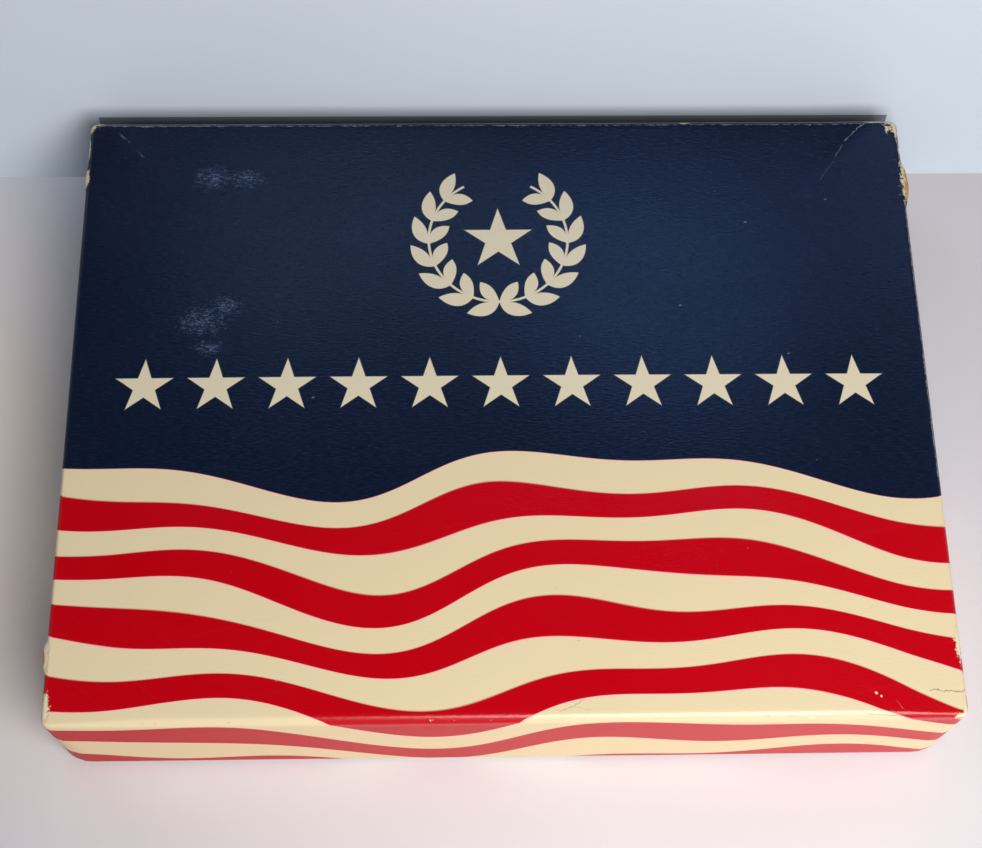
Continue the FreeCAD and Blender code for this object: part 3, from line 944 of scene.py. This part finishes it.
def cottonBunting():
    material, node = newMaterial("cottonBunting")
    cloth = node("UVMap", uv_map="cloth")
    u, v = node("SeparateXYZ", cloth).node.outputs[:2]
    stripe = flagDesign["hoist"] / flagDesign["stripes"]
    turn = node("Math", v, 2 * stripe, 0.0, operation="WRAP")
    white = node("Math", turn, stripe, operation="GREATER_THAN")
    inFly = node("Math", u, flagDesign["fieldFly"], operation="LESS_THAN")
    inHoist = node("Math", v, flagDesign["fieldStripes"] * stripe, operation="LESS_THAN")
    field = node("Math", inFly, inHoist, operation="MULTIPLY")
    stepU, stepV = flagDesign["starStep"]
    stars = []
    for shift in (0, 1):  # two lattices of stars, one set between the other
        x = node("Math", u, (shift + 2) * stepU, shift * stepU, operation="WRAP")
        y = node("Math", v, (shift + 2) * stepV, shift * stepV, operation="WRAP")
        x = node("Math", x, (shift + 1) * stepU, operation="SUBTRACT")
        y = node("Math", (shift + 1) * stepV, y, operation="SUBTRACT")
        stars.append(starInside(node, x, y, flagDesign["starRadius"]))
    star = node("MapRange", strongest(node, *stars), -0.3, 0.3)
    inside = node("Math", u, stepU / 2, operation="GREATER_THAN")
    star = node("Math", star, inside, operation="MULTIPLY")
    starred = node("Math", star, field, operation="MULTIPLY")
    pigment = layered(node, linear(flagDesign["red"]), (white, flagDesign["white"]),
                      (field, flagDesign["navy"]), (starred, flagDesign["white"]))
    weave = plainWeave(node, u, v, flagDesign["thread"])
    slub = node("Mapping", cloth, (0, 0, 0), (0, 0, 0), (30.0, 1.4, 1), vector_type="TEXTURE")
    slub = node("TexNoise", slub, sockets={"Scale": 1.0, "Detail": 2.0}, noise_dimensions="2D")
    uneven = node("MapRange", slub, 0.25, 0.75, 0.88, 1.10)
    # painted shade: the weave's height darkens the colour in the hollows between threads and lightens their
    # tops; the slub's unevenness is the yarn's own
    tone = node("Math", weave, 0.07, uneven, operation="MULTIPLY_ADD")
    colour = node("VectorMath", pigment, sockets={"Scale": tone}, operation="SCALE")
    relief = node("Bump", sockets={"Strength": 0.5, "Distance": 0.12 * mm, "Height": weave}, out="Normal")
    shader = node("BsdfPrincipled", sockets={"Base Color": colour, "Roughness": 0.9, "Sheen Weight": 0.25,
                                             "Sheen Roughness": 0.5, "Normal": relief})
    node("OutputMaterial", shader)
    return material


flagCloth = placePiece("folded_flag_cloth", flagMesh, cottonBunting(), "tray",
                       ["folded_flag"])


# Heading: a canvas band along the hoist, pleated with the cloth and pressed down round its eyelets

# Each eyelet's middle, and the face that it is set in: 1 is the top
eyeletPlaces = [(Vector((-123.3, -86.9)), 1), (Vector((-123.3, 86.9)), -1)]
# From that face to the middle of the ply that it grips, and of the next
eyeletSet = {"plyDepth": 0.65, "restDepth": 1.62}


def pressedHeight(x, y, ply):  # height of a ply's middle, squeezed where an eyelet and its washer are set
    last = flagPack["plies"] - 1
    half = headingBand["canvas"] / 2
    step = (headingHigh.z - headingLow.z - headingBand["canvas"]) / last
    height = headingHigh.z - half - ply * step
    near, far = headingBand["pressReach"]
    for place, face in eyeletPlaces:
        press = eased((far - (Vector((x, y)) - place).length) / (far - near))
        count = ply if face > 0 else last - ply  # plies counted from the face with the eyelet
        room = headingHigh.z - headingLow.z - half - eyeletSet["restDepth"]
        depth = eyeletSet["restDepth"] + room * (count - 1) / (last - 1) if count else eyeletSet["plyDepth"]
        pressed = headingHigh.z - depth if face > 0 else headingLow.z + depth
        height += (pressed - height) * press
    return height


def headingSheet():
    plies = flagPack["plies"]
    step = (headingHigh.z - headingLow.z - headingBand["canvas"]) / (plies - 1)
    mesh = headingBand["mesh"]
    lines = pleats(headingHigh.y, plies, step, headingBand["canvas"], mesh, mesh)
    rows = []
    for x in spaced(headingHigh.x, headingLow.x, mesh):
        row = []
        for y, level, v in lines:
            ply = (plies - 1) / 2 - level
            if abs(ply - round(ply)) < 1e-4:
                z = pressedHeight(x, y, round(ply))
            else:  # on a fold between two plies
                z = headingHigh.z - headingBand["canvas"] / 2 - ply * step
            row.append((Vector((x, y, z)) * mm, (x - headingLow.x, v)))
        rows.append(row)
    return rows


def pierced(mesh):  # opens the first and last ply where the eyelets go through, under their flanges
    form = bmesh.new()
    form.from_mesh(mesh)
    layer = form.loops.layers.uv["cloth"]
    length = max(loop[layer].uv.y for face in form.faces for loop in face.loops)
    ply = length / flagPack["plies"]
    gone = []
    for face in form.faces:
        middle = face.calc_center_median().xy / mm
        v = face.loops[0][layer].uv.y
        for place, side in eyeletPlaces:
            onPly = v < ply if side > 0 else v > length - ply
            if onPly and (middle - place).length < headingBand["holeRadius"]:
                gone.append(face)
    bmesh.ops.delete(form, geom=gone, context="FACES")
    form.to_mesh(mesh)
    form.free()
    return mesh


headingMesh = pierced(quilt("headingCanvas", [headingSheet()], "cloth"))
headingMesh = thickened(headingMesh, headingBand["canvas"], 0.0)


# Cotton duck: a heavy plain weave, unbleached, with thick round threads and brown flecks of seed

def cottonDuck():
    material, node = newMaterial("cottonDuck")
    cloth = node("UVMap", uv_map="cloth")
    u, v = node("SeparateXYZ", cloth).node.outputs[:2]
    weave = plainWeave(node, u, v, headingBand["thread"])
    cloud = node("TexNoise", cloth, sockets={"Scale": 1 / 14.0, "Detail": 3.0}, noise_dimensions="2D")
    seeds = node("TexVoronoi", cloth, sockets={"Scale": 1 / 9.0}, voronoi_dimensions="2D", out="Distance")
    shadow = node("MapRange", weave, 0.3, -1.0, 0.0, 0.35)
    dirty = node("MapRange", cloud, 0.45, 0.8, 0.0, 0.5)
    fleck = node("MapRange", seeds, 0.05, 0.02, 0.0, 0.6)
    colour = layered(node, linear("#ddd3bb"), (dirty, "#c8ba98"), (shadow, "#b3a58a"), (fleck, "#8a7450"))
    relief = node("Bump", sockets={"Strength": 0.6, "Distance": 0.2 * mm, "Height": weave}, out="Normal")
    shader = node("BsdfPrincipled", sockets={"Base Color": colour, "Roughness": 0.9, "Sheen Weight": 0.15,
                                             "Normal": relief})
    node("OutputMaterial", shader)
    return material


def mercerisedThread():  # two-ply sewing cotton: smooth, off-white, with the twist as a fine slant of painted shade in its grooves
    material, node = newMaterial("mercerisedThread")
    spot = node("TexCoord", out="Object")
    turned = node("Mapping", spot, (0, 0, 0), (0, 0, math.radians(30)))
    twist = node("TexWave", turned, sockets={"Scale": 1 / (0.6 * mm) / waveUnit}, bands_direction="Y")
    # painted shade in the grooves of the twist
    grooveShade = node("MapRange", twist, 0.5, 0.0, 0.0, 0.5)
    colour = layered(node, linear("#efe9da"), (grooveShade, "#b9ae95"))
    shader = node("BsdfPrincipled", sockets={"Base Color": colour, "Roughness": 0.55})
    node("OutputMaterial", shader)
    return material


heading = placePiece("flag_heading_canvas", headingMesh, cottonDuck(), "tray",
                     ["flag_heading"])


# Stitching: two rows that hold the cloth in the heading

stitchRows = {
    "fromEdge": (2.2, 5.4), "margin": 3.0, "pitch": 3.6,
    "bead": (0.55, 2.7, 0.34),  # width, length and height of one stitch
}


def stitchTree(material):  # a row of short thread beads from a start, a step and a count
    tree = bpy.data.node_groups.new("stitchRow", "GeometryNodeTree")
    face = tree.interface
    for name, kind in (("Start", "Vector"), ("Step", "Vector"), ("Count", "Int"), ("Size", "Vector")):
        face.new_socket(name, in_out="INPUT", socket_type="NodeSocket" + kind)
    face.new_socket("Geometry", in_out="OUTPUT", socket_type="NodeSocketGeometry")
    node = partial(addNode, tree)
    given = node("NodeGroupInput").node.outputs
    line = node("GeometryNodeMeshLine", sockets={"Count": given["Count"], "Start Location": given["Start"],
                                                 "Offset": given["Step"]})
    bead = node("GeometryNodeMeshUVSphere", sockets={"Segments": 8, "Rings": 6, "Radius": 0.5})
    row = node("GeometryNodeInstanceOnPoints",
               sockets={"Points": line, "Instance": bead, "Scale": given["Size"]})
    row = node("GeometryNodeRealizeInstances", row)
    row = node("GeometryNodeSetShadeSmooth", row)
    row = node("GeometryNodeSetMaterial", sockets={"Geometry": row, "Material": material})
    node("NodeGroupOutput", row)
    return tree


def sewStitches():
    thread = mercerisedThread()
    tree = stitchTree(thread)
    sockets = {item.name: item.identifier for item in tree.interface.items_tree}
    form = bmesh.new()
    start = headingLow.y + stitchRows["margin"]
    count = int((headingHigh.y - stitchRows["margin"] - start) / stitchRows["pitch"]) + 1
    for inset in stitchRows["fromEdge"]:
        holder = newHolder(bpy.data.meshes.new("stitchRow"))
        sewing = holder.modifiers.new("stitches", "NODES")
        sewing.node_group = tree
        sewing[sockets["Start"]] = Vector((headingHigh.x - inset, start, headingHigh.z)) * mm
        sewing[sockets["Step"]] = Vector((0.0, stitchRows["pitch"], 0.0)) * mm
        sewing[sockets["Count"]] = count
        sewing[sockets["Size"]] = Vector(stitchRows["bead"]) * mm
        form.from_mesh(plainMesh(holder))
    mesh = bpy.data.meshes.new("headingStitches")
    form.to_mesh(mesh)
    form.free()
    return placePiece("heading_stitches", mesh, thread, "tray")


stitches = sewStitches()
print("flag laid in the tray")


# Stage: pale floor and a pale wall close behind, soft light from the front right

stageLook = {
    "floor": "#dedee4", "floorSize": 6000.0, "floorGap": 0.1,
    "wall": "#d3e2f0", "wallPlace": 117.9, "wallHeight": 1500.0,
    "wallLean": 0.2,  # it leans back by this share of its height
    "fade": (0.26, 0.45, 1.0, 0.62),  # painted shade: the tone falls between these distances, in metres, to a darker one, as if the light fell off
    "paintedShadeFrom": {"floor": (0.06, 0.10, 0.0)},  # where the painted shade is centred, if not on the middle of the box
    "strip": "#7e878f", "shadowStripForm": (152.5, 20.0, 34.2, 0.8),  # painted shadow: a dark card standing in the crevice behind the box, where it is in shade
    "warm": "#ece4d8", "warmPlace": (-0.20, -0.02, 0.0), "warmReach": (0.13, 0.04),  # painted warm light on the floor in the box's shade, left of the box
    "mirrored": (-0.13, 0.13, -0.15, 0.40),  # painted reflection: as the varnish mirrors the floor, darker left, brighter right
}


def mattCard(colour, middle):  # smooth matt card, very slightly uneven, with painted shade, painted warm light and a painted reflection, and only there from the front
    material, node = newMaterial("mattCard")
    spot = node("TexCoord", out="Object")
    mottle = node("TexNoise", spot, sockets={"Scale": 4.0, "Detail": 2.0})
    tone = node("MapRange", mottle, 0.3, 0.7, 0.98, 1.02)
    # painted shade: darker further from the middle, standing in for light that falls off
    away = node("VectorMath", spot, middle, operation="DISTANCE", out="Value")
    fade = node("MapRange", away, *stageLook["fade"])
    tone = node("Math", tone, fade, operation="MULTIPLY")
    # painted warm light: the floor in the box's shade on the left is tinted warmer
    beside = node("VectorMath", spot, stageLook["warmPlace"], operation="DISTANCE", out="Value")
    paintedWarmLight = node("MapRange", beside, *stageLook["warmReach"])
    tint = layered(node, linear(colour), (paintedWarmLight, stageLook["warm"]))
    # painted reflection: glossy rays see the card darker to the left and brighter to the right
    paintedReflectionGain = node("MapRange", node("SeparateXYZ", spot), *stageLook["mirrored"])
    glossy = node("LightPath", out="Is Glossy Ray")
    mirrored = node("Math", glossy, paintedReflectionGain, 1.0, operation="MULTIPLY_ADD")
    tone = node("Math", tone, mirrored, operation="MULTIPLY")
    tint = node("VectorMath", tint, sockets={"Scale": tone}, operation="SCALE")
    shader = node("BsdfPrincipled", sockets={"Base Color": tint, "Roughness": 0.75})
    behind = node("NewGeometry", out="Backfacing")
    clear = node("BsdfTransparent")
    node("OutputMaterial", node("MixShader", behind, shader, clear))
    return material


def leaningCard(half, low, high, front):  # corners of a card parallel to the wall, so far in front of it
    place, lean = stageLook["wallPlace"] - front, stageLook["wallLean"]
    corners = [(-half, low), (half, low), (half, high), (-half, high)]
    return [Vector((x, place + lean * z, z)) * mm for x, z in corners]


def makeStage():
    half = stageLook["floorSize"] / 2
    low = -stageLook["floorGap"]
    floor = [(-half, -half, low), (half, -half, low), (half, half, low), (-half, half, low)]
    cards = {
        "floor": [Vector(place) * mm for place in floor],
        "wall": leaningCard(half, 0.0, stageLook["wallHeight"], 0.0),
        # the dark card is a painted shadow in the crevice behind the box
        "strip": leaningCard(*stageLook["shadowStripForm"]),
    }
    for name, places in cards.items():
        mesh = bpy.data.meshes.new(name)
        mesh.from_pydata(places, [], [(0, 1, 2, 3)])
        mesh.materials.append(mattCard(stageLook[name], stageLook["paintedShadeFrom"].get(name, (0.0, 0.0, 0.0))))
        stagePiece = bpy.data.objects.new(name, mesh)
        bpy.context.scene.collection.objects.link(stagePiece)
        if name != "floor":  # what stands behind the box neither shades nor tints it
            stagePiece.visible_shadow = False
            stagePiece.visible_diffuse = False
            stagePiece.visible_glossy = False


lightSetup = {
    "key": {"place": (0.20, -0.45, 0.52), "size": (0.46, 0.46), "power": 5.3, "colour": "#fff6f0"},
    "back": {"place": (-0.45, 0.75, 0.42), "size": (0.6, 0.4), "power": 1.4, "colour": "#eef3ff"},
    "ceiling": {"place": (0.20, 0.63, 1.15), "size": (0.30, 0.14), "power": 0.35, "colour": "#8ab4ff"},
    "glowRight": {"place": (0.50, 0.65, 1.02), "size": (0.24, 0.16), "power": 0.16, "colour": "#96baff"},
    "glowLeft": {"place": (-0.14, 0.65, 1.08), "size": (0.34, 0.14), "power": 0.24, "colour": "#9cc0ff"},
    "sky": {"colour": "#dfe6f2", "dark": "#14181f", "strength": 0.22, "darkWay": (0.0, 0.36, 0.93),
            "spread": (0.82, 0.95)},
}


def makeLights():
    for name in ("key", "back", "ceiling", "glowRight", "glowLeft"):
        setup = lightSetup[name]
        lamp = bpy.data.lights.new(name, "AREA")
        lamp.shape = "RECTANGLE"
        lamp.size, lamp.size_y = setup["size"]
        lamp.energy = setup["power"]
        lamp.color = linear(setup["colour"])[:3]
        holder = bpy.data.objects.new(name, lamp)
        holder.location = setup["place"]
        holder.rotation_euler = (-Vector(setup["place"])).to_track_quat("-Z", "Y").to_euler()
        bpy.context.scene.collection.objects.link(holder)
    sky = lightSetup["sky"]
    world = bpy.data.worlds.new("softRoom")
    world.use_nodes = True
    world.node_tree.nodes.clear()
    node = partial(addNode, world.node_tree)
    way = node("TexCoord", out="Generated")
    darkWay = Vector(sky["darkWay"]).normalized()
    facing = node("VectorMath", way, darkWay, operation="DOT_PRODUCT", out="Value")
    dark = node("MapRange", facing, *sky["spread"])  # the room is dim where the panel mirrors it
    colour = layered(node, linear(sky["colour"]), (dark, sky["dark"]))
    ground = node("Background", colour, sky["strength"])
    node("OutputWorld", ground)
    bpy.context.scene.world = world


cameraSetup = {
    "place": (-17.7, -236.1, 598.5), "down": 67.67, "turn": 3.51, "roll": 2.82,  # millimetres and degrees
    "focalPixels": 1704.0, "imageWidth": 982.0, "sensor": 36.0,
}


def makeCamera():
    down, turn, roll = (math.radians(cameraSetup[key]) for key in ("down", "turn", "roll"))
    ahead = Vector((math.sin(turn) * math.cos(down), math.cos(turn) * math.cos(down), -math.sin(down)))
    level = Vector((math.cos(turn), -math.sin(turn), 0.0))
    upright = level.cross(ahead)
    right = level * math.cos(roll) + upright * math.sin(roll)
    up = upright * math.cos(roll) - level * math.sin(roll)
    lens = bpy.data.cameras.new("camera")
    lens.sensor_width = cameraSetup["sensor"]
    lens.lens = cameraSetup["focalPixels"] / cameraSetup["imageWidth"] * cameraSetup["sensor"]
    camera = bpy.data.objects.new("camera", lens)
    turned = Matrix((right, up, -ahead)).transposed().to_4x4()
    camera.matrix_world = Matrix.Translation(Vector(cameraSetup["place"]) * mm) @ turned
    bpy.context.scene.collection.objects.link(camera)
    bpy.context.scene.camera = camera


makeStage()
makeLights()
makeCamera()
bpy.context.scene.view_settings.view_transform = "Standard"
print("stage, light and camera set")
